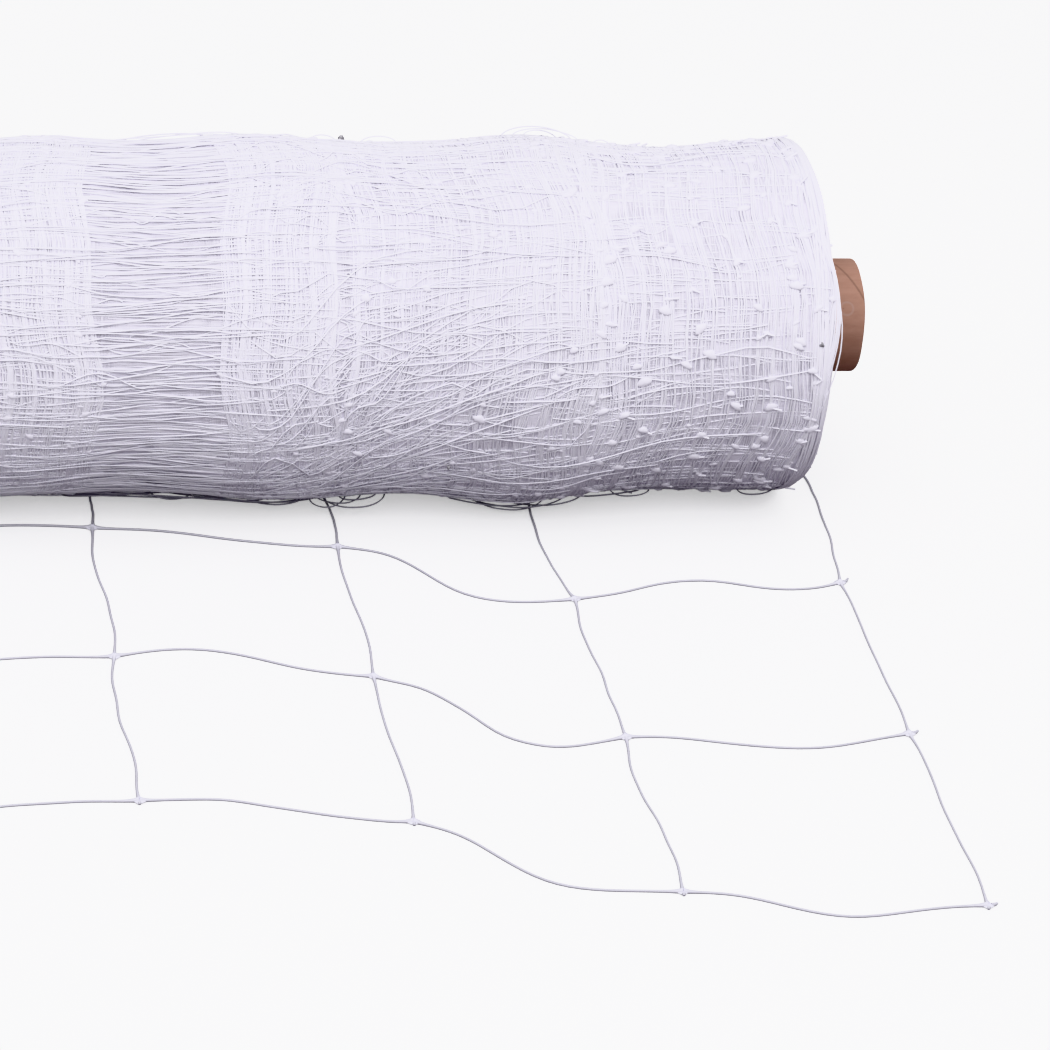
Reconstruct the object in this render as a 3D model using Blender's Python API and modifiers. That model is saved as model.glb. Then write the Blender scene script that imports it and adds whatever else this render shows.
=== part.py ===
"""Trellis netting roll: white plastic garden net wound on a cardboard core, its loose end on the ground.

X runs along the roll, the loose end lies towards -Y, and Z is up. The origin is at the middle of the
roll's flat spot, on the ground.
"""
import math
import random
from collections import namedtuple

import bmesh
import bpy

# Driving dimensions, in metres.
MESH_PITCH = 0.1524
CELLS_WIDE = 8
ROLL_LENGTH = MESH_PITCH * CELLS_WIDE
AXIS_HEIGHT = 0.105
SLACK_RADIUS = 0.1015
SHOULDER = 0.007
CORE_RADIUS = 0.0336
CORE_WALL = 0.004
CORE_OVERHANG = 0.036
FIT_GAP = 0.0003

# The turned pieces: sides around, and rings of faces along the winding.
CORE_SIDES = 48
ROLL_SIDES = 48
ROLL_STATIONS = 76
MERGE = 0.00005

# The net's weight on the ground: full contact up to one side from the bottom, none past this angle.
REST_ANGLE = 2.0 * math.pi / ROLL_SIDES
LIFT_ANGLE = math.radians(28.0)

# The lengthwise strands pile up on each other, turn after turn, in one raised band for each column.
Band = namedtuple("Band", "place rise spread")
BANDS = [
    Band(-0.585, 0.0030, 0.026),
    Band(-0.452, 0.0052, 0.030),
    Band(-0.297, 0.0040, 0.028),
    Band(-0.148, 0.0058, 0.033),
    Band(0.018, 0.0042, 0.027),
    Band(0.172, 0.0034, 0.022),
    Band(0.293, 0.0048, 0.028),
    Band(0.443, 0.0074, 0.030),
    Band(0.588, 0.0028, 0.028),
]

# Soft unevenness of the winding: waves around the roll and along it.
Wave = namedtuple("Wave", "height around along phase")
WAVES = [
    Wave(0.0007, 2, 21.0, 0.4),
    Wave(0.0006, 3, -34.0, 2.1),
    Wave(0.0005, 5, 57.0, 4.4),
]

# Shallow hollows where the winding is slack: place along the roll, depth, how far it spreads along the
# roll, its side as an angle from straight down towards +Y, and how far it reaches around.
Hollow = namedtuple("Hollow", "place depth spread side reach")
HOLLOWS = [
    Hollow(0.180, 0.0052, 0.034, math.radians(-32.0), math.radians(30.0)),
    Hollow(0.440, 0.0032, 0.050, math.radians(151.0), math.radians(40.0)),
]

# The loose end. Knots are flat lozenges, and the strands flare into them.
STRAND_HALF = 0.00075
FLARE_HALF = 0.0012
FLARE_REACH = 0.0055
KNOT_HALF = 0.0030
KNOT_THICKNESS = 0.0024
NET_ROWS = 3
NET_START = 0.029
STUB = 0.006
CROSS_PIECES = 8
LENGTH_PIECES = 3
LOOSE_SEED = 6

# One row for each lengthwise strand: where it leaves the roll, then its first knot's place and distance
# from the roll's middle, the step from knot to knot, the drift sideways at each step, and its bow,
# which is whole on the way to the first knot and half as much past it.
Column = namedtuple("Column", "leaves place first step drift bow")
COLUMNS = [
    Column(-0.585, -0.572, 0.104, 0.146, -0.002, 0.003),
    Column(-0.430, -0.424, 0.128, 0.148, -0.001, -0.004),
    Column(-0.271, -0.268, 0.116, 0.150, 0.001, 0.002),
    Column(-0.116, -0.112, 0.083, 0.147, 0.002, -0.003),
    Column(0.044, 0.045, 0.071, 0.144, 0.003, 0.001),
    Column(0.195, 0.194, 0.061, 0.143, 0.003, 0.001),
    Column(0.332, 0.333, 0.087, 0.143, 0.003, 0.002),
    Column(0.453, 0.461, 0.151, 0.146, 0.003, -0.005),
    Column(0.627, 0.619, 0.137, 0.163, 0.001, 0.002),
]

SAG_RANGE = (-0.014, 0.010)
SWAY_RANGE = (-0.006, 0.011)
RIPPLE_RANGE = (-0.003, 0.003)

# How far the crosswise strands bow between their knots: once (sag), twice (sway) and three times
# (ripple) over the cell. The cells that aren't listed get seeded bows of the same size.
Bow = namedtuple("Bow", "row cell sag sway ripple")
BOWS = [
    Bow(0, 4, 0.0070, -0.0020, 0.0),
    Bow(0, 5, 0.0003, 0.0024, 0.0),
    Bow(0, 6, -0.0137, 0.0102, 0.0020),
    Bow(0, 7, 0.0081, 0.0049, -0.0041),
    Bow(1, 4, 0.0040, -0.0012, 0.0),
    Bow(1, 5, 0.0114, 0.0057, 0.0),
    Bow(1, 6, -0.0205, 0.0121, 0.0),
    Bow(1, 7, -0.0105, 0.0036, 0.0013),
    Bow(2, 4, 0.0035, -0.0012, 0.0),
    Bow(2, 5, 0.0042, 0.0035, 0.0),
    Bow(2, 6, -0.0166, 0.0055, 0.0026),
    Bow(2, 7, -0.0113, 0.0021, 0.0034),
]


def clear_scene():
    for item in list(bpy.data.objects):
        bpy.data.objects.remove(item, do_unlink=True)


def make_material(name, colour, roughness):
    material = bpy.data.materials.new(name)
    material.use_nodes = True
    shader = material.node_tree.nodes["Principled BSDF"]
    shader.inputs["Base Color"].default_value = (*colour, 1.0)
    shader.inputs["Roughness"].default_value = roughness
    shader.inputs["Metallic"].default_value = 0.0
    return material


def place(name, mesh, material, collection, height=0.0):
    piece = bpy.data.objects.new(name, mesh)
    piece.location = (0.0, 0.0, height)
    mesh.materials.append(material)
    collection.objects.link(piece)
    return piece


def profile_mesh(name, outline):
    """A closed outline of (place along the axis, radius) points, as a loop of edges above the X axis."""
    mesh = bpy.data.meshes.new(name)
    points = [(along, 0.0, radius) for along, radius in outline]
    count = len(points)
    edges = [(index, (index + 1) % count) for index in range(count)]
    mesh.from_pydata(points, edges, [])
    return mesh


def add_turn(piece, sides):
    turn = piece.modifiers.new("Turn", "SCREW")
    turn.axis = "X"
    turn.angle = 2.0 * math.pi
    turn.steps = sides
    turn.render_steps = sides
    turn.use_merge_vertices = True
    turn.merge_threshold = MERGE
    return turn


def evaluated_mesh(piece):
    bpy.context.view_layer.update()
    graph = bpy.context.evaluated_depsgraph_get()
    return bpy.data.meshes.new_from_object(piece.evaluated_get(graph))


def finish_smooth(mesh, sharp_degrees):
    mesh.shade_smooth()
    mesh.set_sharp_from_angle(angle=math.radians(sharp_degrees))


# The cardboard core: a plain tube, cut square, open from end to end.
def make_core(material, collection):
    half = ROLL_LENGTH / 2.0 + CORE_OVERHANG
    bore = CORE_RADIUS - CORE_WALL
    outline = [(-half, CORE_RADIUS), (-half, bore), (half, bore), (half, CORE_RADIUS)]
    core = place("core_tube", profile_mesh("core_tube", outline), material, collection, AXIS_HEIGHT)
    add_turn(core, CORE_SIDES)
    return core


# The wound net: its radius along the roll and around it.
def smooth_step(value):
    value = min(max(value, 0.0), 1.0)
    return value * value * (3.0 - 2.0 * value)


def wound_radius(along, angle):
    """Radius of the winding at a place along the axis and an angle from straight down."""
    free = SLACK_RADIUS
    for band in BANDS:
        free += band.rise * math.exp(-0.5 * ((along - band.place) / band.spread) ** 2)
    for wave in WAVES:
        free += wave.height * math.sin(wave.around * angle + wave.along * along + wave.phase)
    for hollow in HOLLOWS:
        off_side = (angle - hollow.side + math.pi) % (2.0 * math.pi) - math.pi
        off_place = (along - hollow.place) / hollow.spread
        free -= hollow.depth * math.exp(-0.5 * (off_place ** 2 + (off_side / hollow.reach) ** 2))
    resting = AXIS_HEIGHT / math.cos(REST_ANGLE)
    lift = smooth_step((abs(angle) - REST_ANGLE) / (LIFT_ANGLE - REST_ANGLE))
    return resting + (free - resting) * lift


def wound_outline():
    half = ROLL_LENGTH / 2.0
    bore = CORE_RADIUS + FIT_GAP
    flat = half - SHOULDER
    step = 2.0 * flat / ROLL_STATIONS
    top = [(-flat + step * index, SLACK_RADIUS) for index in range(ROLL_STATIONS + 1)]
    corner = SHOULDER * (1.0 - math.sqrt(0.5))
    left = [(-half, SLACK_RADIUS - SHOULDER), (-half + corner, SLACK_RADIUS - corner)]
    right = [(-along, radius) for along, radius in reversed(left)]
    return [(half, bore), (-half, bore), *left, *top, *right]


def make_wound_net(material, collection):
    turned = place("wound_net_turned", profile_mesh("wound_net", wound_outline()), material, collection)
    add_turn(turned, ROLL_SIDES)
    mesh = evaluated_mesh(turned)
    bpy.data.objects.remove(turned, do_unlink=True)
    for vertex in mesh.vertices:
        along, across, up = vertex.co
        radius = math.hypot(across, up)
        if radius > CORE_RADIUS + SHOULDER:
            angle = math.atan2(across, -up)
            scale = wound_radius(along, angle) / SLACK_RADIUS
            vertex.co.y = across * scale
            vertex.co.z = max(up * scale, -AXIS_HEIGHT)
    shape = bmesh.new()
    shape.from_mesh(mesh)
    bmesh.ops.recalc_face_normals(shape, faces=shape.faces)
    shape.to_mesh(mesh)
    shape.free()
    finish_smooth(mesh, 35.0)
    mesh.name = "wound_net"
    return place("wound_net", mesh, material, collection, AXIS_HEIGHT)


# The loose end: a network of edges along its strands, given its thickness by a Skin modifier.
def knot_place(column, row):
    return (column.place + column.drift * row, -(column.first + column.step * row))


def bow_of(row, cell, dice):
    sag = dice.uniform(*SAG_RANGE)
    sway = dice.uniform(*SWAY_RANGE)
    ripple = dice.uniform(*RIPPLE_RANGE)
    listed = [bow for bow in BOWS if (bow.row, bow.cell) == (row, cell)]
    return listed[0] if listed else Bow(row, cell, sag, sway, ripple)


def bowed_points(start, end, pieces, sag, sway, ripple):
    """Points from start to end, the flares beside both knots among them, moved off the chord by the bow."""
    run = math.dist(start, end)
    ahead = ((end[0] - start[0]) / run, (end[1] - start[1]) / run)
    flare = FLARE_REACH / run
    shares = [0.0, flare, *[index / pieces for index in range(1, pieces)], 1.0 - flare, 1.0]
    points = []
    for share in shares:
        phase = math.pi * share
        off = sag * math.sin(phase) + sway * math.sin(2.0 * phase) + ripple * math.sin(3.0 * phase)
        points.append((
            start[0] + ahead[0] * run * share - ahead[1] * off,
            start[1] + ahead[1] * run * share + ahead[0] * off,
        ))
    return points


class Network:
    """Edges and skin sizes of the loose end, knots shared between the strands that meet there."""

    def __init__(self):
        self.shape = bmesh.new()
        self.skin = self.shape.verts.layers.skin.verify()
        self.knots = {}

    def vertex(self, point, half):
        new = self.shape.verts.new((point[0], point[1], 0.0))
        new[self.skin].radius = (half, half)
        return new

    def knot(self, point):
        key = (round(point[0], 6), round(point[1], 6))
        if key not in self.knots:
            self.knots[key] = self.vertex(point, KNOT_HALF)
        return self.knots[key]

    def strand(self, points, start_knot, end_knot):
        last = len(points) - 1
        chain = []
        for index, point in enumerate(points):
            tied = (index == 0 and start_knot) or (index == last and end_knot)
            flared = (index == 1 and start_knot) or (index == last - 1 and end_knot)
            half = FLARE_HALF if flared else STRAND_HALF
            chain.append(self.knot(point) if tied else self.vertex(point, half))
        for before, after in zip(chain, chain[1:]):
            self.shape.edges.new((before, after))

    def stub(self, point, direction):
        tip = (point[0] + direction[0] * STUB, point[1] + direction[1] * STUB)
        self.shape.edges.new((self.knot(point), self.vertex(tip, STRAND_HALF)))

    def mesh(self, name):
        self.shape.verts.ensure_lookup_table()
        self.shape.verts[0][self.skin].use_root = True
        mesh = bpy.data.meshes.new(name)
        self.shape.to_mesh(mesh)
        self.shape.free()
        return mesh


def loose_network():
    dice = random.Random(LOOSE_SEED)
    network = Network()
    for column in COLUMNS:
        knots = [knot_place(column, row) for row in range(NET_ROWS)]
        top = (column.leaves, -NET_START)
        network.strand(bowed_points(top, knots[0], LENGTH_PIECES, column.bow, 0.0, 0.0), False, True)
        for upper, lower in zip(knots, knots[1:]):
            below = bowed_points(upper, lower, LENGTH_PIECES, column.bow / 2.0, 0.0, 0.0)
            network.strand(below, True, True)
        network.stub(knots[-1], (0.0, -1.0))
    for row in range(NET_ROWS):
        for cell in range(CELLS_WIDE):
            bow = bow_of(row, cell, dice)
            ends = knot_place(COLUMNS[cell], row), knot_place(COLUMNS[cell + 1], row)
            network.strand(bowed_points(*ends, CROSS_PIECES, bow.sag, bow.sway, bow.ripple), True, True)
        network.stub(knot_place(COLUMNS[0], row), (-1.0, 0.0))
        network.stub(knot_place(COLUMNS[-1], row), (1.0, 0.0))
    return network.mesh("loose_net_lines")


def make_loose_net(material, collection):
    lines = place("loose_net_lines", loose_network(), material, collection)
    lines.modifiers.new("Strands", "SKIN").branch_smoothing = 0.0
    mesh = evaluated_mesh(lines)
    bpy.data.objects.remove(lines, do_unlink=True)
    half = KNOT_THICKNESS / 2.0
    for vertex in mesh.vertices:
        vertex.co.z = min(max(vertex.co.z, -half), half) + half
    mesh.name = "loose_net"
    return place("loose_net", mesh, material, collection)


def main():
    clear_scene()
    collection = bpy.data.collections.new("trellis_netting_roll")
    bpy.context.scene.collection.children.link(collection)
    cardboard = make_material("kraft_cardboard", (0.36, 0.20, 0.15), 0.85)
    plastic = make_material("white_net_plastic", (0.80, 0.78, 0.86), 0.45)
    make_core(cardboard, collection)
    make_wound_net(plastic, collection)
    make_loose_net(plastic, collection)


main()
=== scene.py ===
# %% [markdown]
# # A roll of trellis netting
#
# Trellis netting is plastic: lengthwise and crosswise strands, welded into 15 cm squares, and sold
# wound on a cardboard core. This lesson dresses a plain model of one roll, 1.2 m wide, whose loose end
# is drawn out over the ground.
#
# The plain model is the frame. The dressed pieces could be made without it, but the main sizes are read
# from it, and the winding's surface is measured on it, so that they sit where the plain solids do.

# %% Load the frame
import math
import random
from collections import namedtuple

import bmesh
import bpy
import numpy as np
from mathutils import Matrix, Vector
from mathutils.bvhtree import BVHTree


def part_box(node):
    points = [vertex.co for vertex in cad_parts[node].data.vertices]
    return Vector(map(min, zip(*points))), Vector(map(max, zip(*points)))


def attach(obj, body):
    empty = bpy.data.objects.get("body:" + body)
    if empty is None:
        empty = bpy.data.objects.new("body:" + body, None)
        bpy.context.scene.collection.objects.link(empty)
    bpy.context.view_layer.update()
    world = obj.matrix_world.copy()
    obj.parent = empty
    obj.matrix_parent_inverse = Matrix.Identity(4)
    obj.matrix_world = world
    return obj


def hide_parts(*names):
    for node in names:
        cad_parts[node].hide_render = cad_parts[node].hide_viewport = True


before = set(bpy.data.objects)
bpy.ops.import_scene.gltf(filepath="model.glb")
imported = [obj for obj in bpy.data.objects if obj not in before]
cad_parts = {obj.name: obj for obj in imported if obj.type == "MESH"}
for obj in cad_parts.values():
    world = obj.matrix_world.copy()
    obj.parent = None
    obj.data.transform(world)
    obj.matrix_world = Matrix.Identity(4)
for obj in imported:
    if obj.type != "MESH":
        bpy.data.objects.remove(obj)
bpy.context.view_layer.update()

# %% [markdown]
# ## Sizes
#
# X runs along the roll, the loose end lies towards -Y and the ground is at Z = 0. The core's box gives
# the roll's axis, and the winding's box gives its length. The real net has eight cells across its
# width, and its strands are a little over a millimetre thick.

# %% Sizes from the frame
core_low, core_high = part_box("core_tube")
wound_low, wound_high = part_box("wound_net")
AXIS_Z = (core_low.z + core_high.z) / 2.0
CORE_RADIUS = (core_high.z - core_low.z) / 2.0
CORE_HALF_LENGTH = (core_high.x - core_low.x) / 2.0
HALF_LENGTH = (wound_high.x - wound_low.x) / 2.0
CELLS = 8
PITCH = 2.0 * HALF_LENGTH / CELLS
STRAND_RADIUS = 0.00068
print("axis height", round(AXIS_Z, 4), "half length", round(HALF_LENGTH, 4), "pitch", round(PITCH, 4))

# %% [markdown]
# ## Camera
#
# A product picture of something this long wants a long lens, which keeps the far side from shrinking.
# The camera stands in front of the roll's middle, over a metre up, and looks down at its right half. It
# could be aimed with a constraint, but three angles give its axes directly, and nothing has to be
# evaluated.

# %% Camera
LENS = 137.14
SENSOR_WIDTH = 36.0
YAW = math.radians(11.33)
PITCH_DOWN = math.radians(29.0)
CAMERA_ROLL = math.radians(4.77)
CAMERA_DISTANCE = 2.415
LOOK_AT = Vector((0.459, 0.0, -0.0356))

ahead = Vector((
    math.sin(YAW) * math.cos(PITCH_DOWN),
    math.cos(YAW) * math.cos(PITCH_DOWN),
    -math.sin(PITCH_DOWN),
))
level_right = Vector((math.cos(YAW), -math.sin(YAW), 0.0))
level_up = level_right.cross(ahead)
right = level_right * math.cos(CAMERA_ROLL) + level_up * math.sin(CAMERA_ROLL)
up = level_up * math.cos(CAMERA_ROLL) - level_right * math.sin(CAMERA_ROLL)

camera_data = bpy.data.cameras.new("camera")
camera_data.lens = LENS
camera_data.sensor_width = SENSOR_WIDTH
camera = bpy.data.objects.new("camera", camera_data)
bpy.context.scene.collection.objects.link(camera)
turn = Matrix((right, up, -ahead)).transposed()
camera.matrix_world = Matrix.Translation(LOOK_AT - ahead * CAMERA_DISTANCE) @ turn.to_4x4()
bpy.context.scene.camera = camera
print("camera at", tuple(round(v, 3) for v in camera.matrix_world.translation))

# %% [markdown]
# ## Node trees as expressions
#
# Shader and geometry trees can be drawn by hand, box by box, but they are easier to read as sums and
# products. A Socket wraps one output of a node, and its operators add the Math nodes. A Tree has one
# method for every other node: its type, its settings, then what goes into its sockets.


# %% Sockets
class Socket:
    """One output of a node, which can be added to, scaled and compared in an expression."""

    def __init__(self, tree, link):
        self.tree = tree
        self.link = link

    def math(self, operation, *values):
        return self.tree.node("ShaderNodeMath", {"operation": operation}, dict(enumerate(values)))

    def __add__(self, other):
        return self.math("ADD", self, other)

    def __radd__(self, other):
        return self.math("ADD", other, self)

    def __sub__(self, other):
        return self.math("SUBTRACT", self, other)

    def __rsub__(self, other):
        return self.math("SUBTRACT", other, self)

    def __mul__(self, other):
        return self.math("MULTIPLY", self, other)

    def __rmul__(self, other):
        return self.math("MULTIPLY", other, self)

    def __truediv__(self, other):
        return self.math("DIVIDE", self, other)

    def __rtruediv__(self, other):
        return self.math("DIVIDE", other, self)

    def __pow__(self, other):
        return self.math("POWER", self, other)

    def __abs__(self):
        return self.math("ABSOLUTE", self)

    def sine(self):
        return self.math("SINE", self)

    def fraction(self):
        return self.math("FRACT", self)

    def angle_over(self, other):
        return self.math("ARCTAN2", self, other)

    def at_most(self, other):
        return self.math("MINIMUM", self, other)

    def step(self, low, high):
        """0 below low, 1 above high, smooth between."""
        settings = {"interpolation_type": "SMOOTHSTEP"}
        return self.tree.node("ShaderNodeMapRange", settings, {0: self, 1: low, 2: high})


print("sockets ready")


# %% Trees
class Tree:
    """A node tree with one way to add a node."""

    def __init__(self, tree):
        self.tree = tree

    def node(self, kind, settings=None, inputs=None, output=0):
        new = self.tree.nodes.new(kind)
        for name, value in (settings or {}).items():
            setattr(new, name, value)
        for name, value in (inputs or {}).items():
            self.feed(new.inputs[name], value)
        return Socket(self, new.outputs[output]) if len(new.outputs) else None

    def feed(self, socket, value):
        if isinstance(value, Socket):
            self.tree.links.new(value.link, socket)
        else:
            socket.default_value = value


print("trees ready")

# %% [markdown]
# ## Finishes
#
# The real roll is plastic and card. Both could be image textures, but noise on Object coordinates has no
# seams, needs no unwrapping and stays sharp close by. Each finish is a Principled shader: what changes
# over a surface feeds its colour, roughness or normal, and what is the same everywhere is set on it.


# %% Finish helpers
PLASTIC_IOR = 1.49


def finish(name, roughness):
    """A material, its tree, and its Principled shader's input sockets."""
    material = bpy.data.materials.new(name)
    material.use_nodes = True
    shader = material.node_tree.nodes["Principled BSDF"].inputs
    shader["Roughness"].default_value = roughness
    shader["IOR"].default_value = PLASTIC_IOR
    return material, Tree(material.node_tree), shader


def mix_colours(tree, share, first, second):
    inputs = {"Factor": share, 6: first, 7: second}
    return tree.node("ShaderNodeMix", {"data_type": "RGBA"}, inputs, output=2)


def vector_math(tree, operation, first, second=None):
    inputs = {0: first} if second is None else {0: first, 1: second}
    return tree.node("ShaderNodeVectorMath", {"operation": operation}, inputs)


def attribute(tree, name):
    return tree.node("ShaderNodeAttribute", {"attribute_name": name}, {}, output=2)


print("finish helpers ready")


# %% Noise helpers
def object_place(tree):
    return tree.node("ShaderNodeTexCoord", {}, {}, output=3)


def noise(tree, scale, detail=2.0, rough=0.5):
    """Noise on Object coordinates. A scale for each axis turns it into streaks."""
    place = tree.node("ShaderNodeMapping", {}, {"Vector": object_place(tree), "Scale": scale})
    inputs = {"Vector": place, "Scale": 1.0, "Detail": detail, "Roughness": rough}
    return tree.node("ShaderNodeTexNoise", {}, inputs)


def even(scale):
    return (scale, scale, scale)


print("noise helpers ready")

# %% [markdown]
# ### Net plastic
#
# The real strands are milky, and light passes from each into its neighbours, which softens the shade
# on them and leaves a faint lavender tint. Subsurface scattering could do this, but over thousands of
# thin strands it is slow and comes out dark. Instead the shading normal leans a little towards straight
# out from the roll's axis, so that a strand's underside isn't shaded as harshly as solid paint would be.


# %% Softened normals
def lean_outward(tree, share):
    """The shading normal, leaned towards straight out from the roll's axis."""
    face = tree.node("ShaderNodeNewGeometry", {}, {}, output=1)
    from_axis = vector_math(tree, "SUBTRACT", object_place(tree), (0.0, 0.0, AXIS_Z))
    outward = vector_math(tree, "NORMALIZE", vector_math(tree, "MULTIPLY", from_axis, (0.0, 1.0, 1.0)))
    inputs = {"Factor": share, 4: face, 5: outward}
    blended = tree.node("ShaderNodeMix", {"data_type": "VECTOR"}, inputs, output=1)
    return vector_math(tree, "NORMALIZE", blended)


print("normals can lean outwards")

# %% [markdown]
# Strands deep in the winding get less light, so their white is painted darker: painted shade. Each line
# of strands carries an attribute named "depth", 0 on top and 1 at the bottom, and the finish mixes two
# whites by it. Loops that hang below the roll get no light through the winding at all, so their finish is
# painted dark grey: painted shade. Strands that lie slack are a little duller than those wound tight.

# %% Wound strands' finishes
WHITE = (0.912, 0.895, 0.976, 1.0)
DULL_WHITE = (0.87, 0.853, 0.935, 1.0)
# DEEP_WHITE is painted shade for strands deep in the winding; the knots also use it as a second tone.
DEEP_WHITE = (0.885, 0.865, 0.955, 1.0)
# SHADED and DEEP_SHADED are painted shade, for loops that hang in the roll's shadow.
SHADED = (0.30, 0.29, 0.34, 1.0)
DEEP_SHADED = (0.24, 0.23, 0.28, 1.0)
STRAND_LEAN = 0.2


def net_plastic(name, lean, white, deep):
    """Net plastic, with painted shade: darker in tint where the strand lies deeper in the winding."""
    material, tree, shader = finish(name, 0.42)
    mottle = noise(tree, even(38.0))
    share = (attribute(tree, "depth") * 0.8 + mottle * 0.3).at_most(1.0)
    tree.feed(shader["Base Color"], mix_colours(tree, share, white, deep))
    tree.feed(shader["Roughness"], 0.48 + mottle * 0.2)
    tree.feed(shader["Normal"], lean_outward(tree, lean))
    print("made", material.name)
    return material


strand_finish = net_plastic("wound_strand_plastic", STRAND_LEAN, WHITE, DEEP_WHITE)
slack_finish = net_plastic("slack_strand_plastic", STRAND_LEAN, DULL_WHITE, DEEP_WHITE)
shaded_finish = net_plastic("hanging_strand_painted_shade", 0.0, SHADED, DEEP_SHADED)

# %% [markdown]
# A knot is thicker than a strand, so less light comes through it, and its white is painted a little
# duller: painted shade. Torn scraps of other plastic are caught in the winding here and there, and they
# are plain grey.

# %% Knots' finishes
# The knots' duller white is painted shade.
KNOT_SHADED_WHITE = (0.84, 0.82, 0.91, 1.0)
KNOT_LEAN = 0.35
knot_finish, tree, shader = finish("wound_knot_plastic", 0.42)
tree.feed(shader["Base Color"], mix_colours(tree, noise(tree, even(90.0)), KNOT_SHADED_WHITE, DEEP_WHITE))
tree.feed(shader["Normal"], lean_outward(tree, KNOT_LEAN))
print("made", knot_finish.name)

scrap_finish, tree, shader = finish("scrap_plastic", 0.5)
scrap_colours = (0.20, 0.19, 0.21, 1.0), (0.38, 0.37, 0.40, 1.0)
tree.feed(shader["Base Color"], mix_colours(tree, noise(tree, even(400.0)).step(0.4, 0.6), *scrap_colours))
print("made", scrap_finish.name)

# %% [markdown]
# ### Bed of the winding
#
# Between the strands that are made one by one, the eye sees more strands deeper down. They could be
# made too, at a cost of millions of faces. Lines in the colour and in the bump do as well there: a thin
# line runs wherever a streaky noise passes through its middle value. In the colour the lines are painted
# shade, dark as the gaps between deeper strands, and the bed's white is painted a little darker than the
# strands', as shade on the deeper turns. The attribute "hooped" says where lengthwise strands lie below,
# and elsewhere the streaks run along the roll.


# %% Bed's finish
def strand_edges(tree, scale, width):
    """1 along thin lines, where a streaky noise passes through its middle value."""
    return 1.0 - abs(noise(tree, scale, 1.0) - 0.5).step(0.0, width)


bed_finish, tree, shader = finish("winding_bed", 0.55)
hooped = attribute(tree, "hooped")
patches = noise(tree, even(70.0)).step(0.3, 0.7)
hoop_edges = strand_edges(tree, (820.0, 9.0, 9.0), 0.10) * (0.25 + 0.75 * hooped) * patches
cross_edges = strand_edges(tree, (16.0, 640.0, 640.0), 0.10)
finer_edges = strand_edges(tree, (11.0, 930.0, 930.0), 0.12)
streaks = (cross_edges + finer_edges * 0.6) * (1.0 - 0.8 * hooped) * (0.5 + 0.5 * patches)
edges = (hoop_edges + streaks).at_most(1.0)
# The dark line colour is painted shade in the gaps, and the bed's darker white is painted shade of the deeper
# turns.
bed_white_and_gap_shade = (0.82, 0.795, 0.89, 1.0), (0.56, 0.535, 0.63, 1.0)
tree.feed(shader["Base Color"], mix_colours(tree, edges * 0.8, *bed_white_and_gap_shade))
relief = {"Strength": 0.8, "Distance": 0.0007, "Height": 1.0 - edges}
tree.feed(shader["Normal"], tree.node("ShaderNodeBump", {}, relief))
print("made", bed_finish.name)

# %% [markdown]
# ### Loose strands
#
# On the pale ground a single strand lets the ground show through, lit from one side, and it reads as
# grey. Real transparency would show the shadow under the strand, so a plain grey is used instead: painted
# shade, for the see-through strand and the shadow under it. The strand turns white where it thickens into
# a knot, which an attribute named "knot" marks.

# %% Loose strands' finish
# The loose strands' grey is painted shade.
STRAND_SHADE_GREY = (0.45, 0.44, 0.50, 1.0)
LOOSE_KNOT_WHITE = (0.74, 0.73, 0.82, 1.0)
loose_finish, tree, shader = finish("loose_strand_plastic", 0.38)
cloudy = noise(tree, even(60.0)) * 0.3
share = (attribute(tree, "knot") + cloudy).at_most(1.0)
tree.feed(shader["Base Color"], mix_colours(tree, share, STRAND_SHADE_GREY, LOOSE_KNOT_WHITE))
print("made", loose_finish.name)

# %% [markdown]
# ### Cardboard
#
# The core is a tube of kraft card, wound from strips on a slant. Its surface has long fibres, darker
# blotches and flecks, and one seam that climbs round the tube like a screw thread. The cut ends show
# the plies as rings. All of it is worked out from the place on the tube: the angle round the axis and
# the distance along it give the seam, and the distance from the axis gives the plies.


# %% Places on the core
def near(tree, spot, low, high):
    """1 closer to a spot than low, 0 beyond high."""
    inputs = {0: object_place(tree), 1: spot}
    away = tree.node("ShaderNodeVectorMath", {"operation": "DISTANCE"}, inputs, output=1)
    return 1.0 - away.step(low, high)


SEAM_PITCH = 0.105
PLY = 0.0009
card_finish, tree, shader = finish("kraft_card", 0.88)
place = object_place(tree)
x, y, z = (tree.node("ShaderNodeSeparateXYZ", {}, {0: place}, output=axis) for axis in range(3))
rise = z - AXIS_Z
around = y.angle_over(rise) * (0.5 / math.pi)
seam_share = (around + x * (1.0 / SEAM_PITCH) + 4.0).fraction()
seam = seam_share.step(0.0, 0.006) * (1.0 - seam_share.step(0.012, 0.02))
radius = (y * y + rise * rise) ** 0.5
end_face = abs(x).step(CORE_HALF_LENGTH - 0.0008, CORE_HALF_LENGTH - 0.0004)
plies = ((radius * (2.0 * math.pi / PLY)).sine() * 0.5 + 0.5) * end_face
print("the seam turns once in", SEAM_PITCH, "m")

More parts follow.
